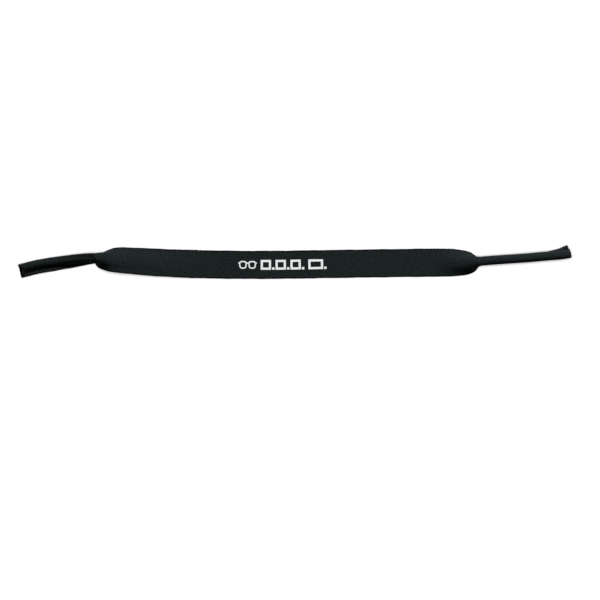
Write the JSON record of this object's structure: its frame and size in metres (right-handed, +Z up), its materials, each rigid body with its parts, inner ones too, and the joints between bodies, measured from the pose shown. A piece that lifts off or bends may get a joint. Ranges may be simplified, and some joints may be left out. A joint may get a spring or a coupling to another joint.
{
  "type": "eyeglass retainer strap",
  "caption": "Soft foam-rubber strap with a knitted face: a flat band whose folded and overlocked ends make sleeves for spectacle temple tips. Worn behind the head; eyewear not included.",
  "frame": {"origin": "on the surface that the strap lies on, at the middle of its outline", "axes": "+X along the strap from the left sleeve to the right one, +Y across the band, +Z up out of the band's printed face"},
  "size_m": [0.3922, 0.0246, 0.0104],
  "materials": {
    "outer_jersey": "matt knitted nylon, near black",
    "foam_core": "fine closed-cell foam, matt",
    "inner_jersey": "matt knitted nylon, dark blue grey",
    "overlock_thread": "textured polyester thread, mid grey",
    "ink": "white screen print"
  },
  "bodies": {
    "nape": {"foam_core_nape": "foam_core", "inner_jersey_nape": "inner_jersey", "outer_jersey_nape": "outer_jersey", "print_blocks_long": "ink"},
    "left_band_1": {"foam_core_left_band_1": "foam_core", "inner_jersey_left_band_1": "inner_jersey", "outer_jersey_left_band_1": "outer_jersey", "print_spectacles": "ink"},
    "left_band_2": {"foam_core_left_band_2": "foam_core", "inner_jersey_left_band_2": "inner_jersey", "outer_jersey_left_band_2": "outer_jersey"},
    "left_band_3": {"foam_core_left_band_3": "foam_core", "inner_jersey_left_band_3": "inner_jersey", "outer_jersey_left_band_3": "outer_jersey"},
    "left_shoulder": {"foam_core_left_shoulder": "foam_core", "inner_jersey_left_shoulder": "inner_jersey", "looper_thread_back_left_shoulder": "overlock_thread", "looper_thread_front_left_shoulder": "overlock_thread", "needle_thread_left_shoulder": "overlock_thread", "outer_jersey_left_shoulder": "outer_jersey"},
    "left_neck": {"foam_core_left_neck": "foam_core", "inner_jersey_left_neck": "inner_jersey", "looper_thread_back_left_neck": "overlock_thread", "looper_thread_front_left_neck": "overlock_thread", "needle_thread_left_neck": "overlock_thread", "outer_jersey_left_neck": "outer_jersey"},
    "left_sleeve": {"foam_core_left_sleeve": "foam_core", "inner_jersey_left_sleeve": "inner_jersey", "looper_thread_back_left_sleeve": "overlock_thread", "looper_thread_front_left_sleeve": "overlock_thread", "needle_thread_left_sleeve": "overlock_thread", "outer_jersey_left_sleeve": "outer_jersey"},
    "right_band_1": {"foam_core_right_band_1": "foam_core", "inner_jersey_right_band_1": "inner_jersey", "outer_jersey_right_band_1": "outer_jersey", "print_blocks_short": "ink"},
    "right_band_2": {"foam_core_right_band_2": "foam_core", "inner_jersey_right_band_2": "inner_jersey", "outer_jersey_right_band_2": "outer_jersey"},
    "right_band_3": {"foam_core_right_band_3": "foam_core", "inner_jersey_right_band_3": "inner_jersey", "outer_jersey_right_band_3": "outer_jersey"},
    "right_shoulder": {"foam_core_right_shoulder": "foam_core", "inner_jersey_right_shoulder": "inner_jersey", "looper_thread_back_right_shoulder": "overlock_thread", "looper_thread_front_right_shoulder": "overlock_thread", "needle_thread_right_shoulder": "overlock_thread", "outer_jersey_right_shoulder": "outer_jersey"},
    "right_neck": {"foam_core_right_neck": "foam_core", "inner_jersey_right_neck": "inner_jersey", "looper_thread_back_right_neck": "overlock_thread", "looper_thread_front_right_neck": "overlock_thread", "needle_thread_right_neck": "overlock_thread", "outer_jersey_right_neck": "outer_jersey"},
    "right_sleeve": {"foam_core_right_sleeve": "foam_core", "inner_jersey_right_sleeve": "inner_jersey", "looper_thread_back_right_sleeve": "overlock_thread", "looper_thread_front_right_sleeve": "overlock_thread", "needle_thread_right_sleeve": "overlock_thread", "outer_jersey_right_sleeve": "outer_jersey"}
  },
  "joints": [
    {"name": "left_flex_1", "type": "hinge", "parent": "nape", "child": "left_band_1", "pos_m": [-0.02501, -0.00229, 0.001], "axis": [0.0006, -1, 0], "range_deg": [-30, 30], "stiffness_Nm_per_rad": 0.0004},
    {"name": "left_flex_2", "type": "hinge", "parent": "left_band_1", "child": "left_band_2", "pos_m": [-0.05714, -0.00202, 0.00122], "axis": [-0.0173, -0.9997, 0.0168], "range_deg": [-30, 30], "stiffness_Nm_per_rad": 0.0004},
    {"name": "left_flex_3", "type": "hinge", "parent": "left_band_2", "child": "left_band_3", "pos_m": [-0.08927, -0.00105, 0.00332], "axis": [-0.0548, -0.9823, 0.1792], "range_deg": [-24, 24], "stiffness_Nm_per_rad": 0.0004},
    {"name": "left_flex_4", "type": "hinge", "parent": "left_band_3", "child": "left_shoulder", "pos_m": [-0.12087, 0.00103, 0.005], "axis": [-0.0965, -0.9502, 0.2962], "range_deg": [-24, 24], "stiffness_Nm_per_rad": 0.0004},
    {"name": "left_neck_swing", "type": "hinge", "parent": "left_shoulder", "child": "left_neck", "pos_m": [-0.14263, 0.00168, 0.004], "axis": [0, 0, 1], "range_deg": [-25, 25], "stiffness_Nm_per_rad": 0.0004},
    {"name": "left_sleeve_twist", "type": "hinge", "parent": "left_neck", "child": "left_sleeve", "pos_m": [-0.15704, 0.00098, 0.00444], "axis": [-0.9977, -0.0679, 0], "range_deg": [-45, 45], "stiffness_Nm_per_rad": 0.0004},
    {"name": "right_flex_1", "type": "hinge", "parent": "nape", "child": "right_band_1", "pos_m": [0.00868, -0.00194, 0.001], "axis": [-0.0165, 0.9999, 0], "range_deg": [-30, 30], "stiffness_Nm_per_rad": 0.0004},
    {"name": "right_flex_2", "type": "hinge", "parent": "right_band_1", "child": "right_band_2", "pos_m": [0.04321, -0.00142, 0.001], "axis": [-0.0148, 0.9999, 0], "range_deg": [-30, 30], "stiffness_Nm_per_rad": 0.0004},
    {"name": "right_flex_3", "type": "hinge", "parent": "right_band_2", "child": "right_band_3", "pos_m": [0.07761, -0.00094, 0.001], "axis": [-0.0123, 0.9999, 0], "range_deg": [-30, 30], "stiffness_Nm_per_rad": 0.0004},
    {"name": "right_flex_4", "type": "hinge", "parent": "right_band_3", "child": "right_shoulder", "pos_m": [0.11177, -0.00068, 0.00239], "axis": [-0.0003, 1, 0], "range_deg": [-24, 24], "stiffness_Nm_per_rad": 0.0004},
    {"name": "right_neck_swing", "type": "hinge", "parent": "right_shoulder", "child": "right_neck", "pos_m": [0.13358, 0.00042, 0.004], "axis": [0, 0, 1], "range_deg": [-25, 25], "stiffness_Nm_per_rad": 0.0004},
    {"name": "right_sleeve_twist", "type": "hinge", "parent": "right_neck", "child": "right_sleeve", "pos_m": [0.14817, 0.00146, 0.00551], "axis": [0.9978, 0.0661, 0], "range_deg": [-45, 45], "stiffness_Nm_per_rad": 0.0004}
  ]
}
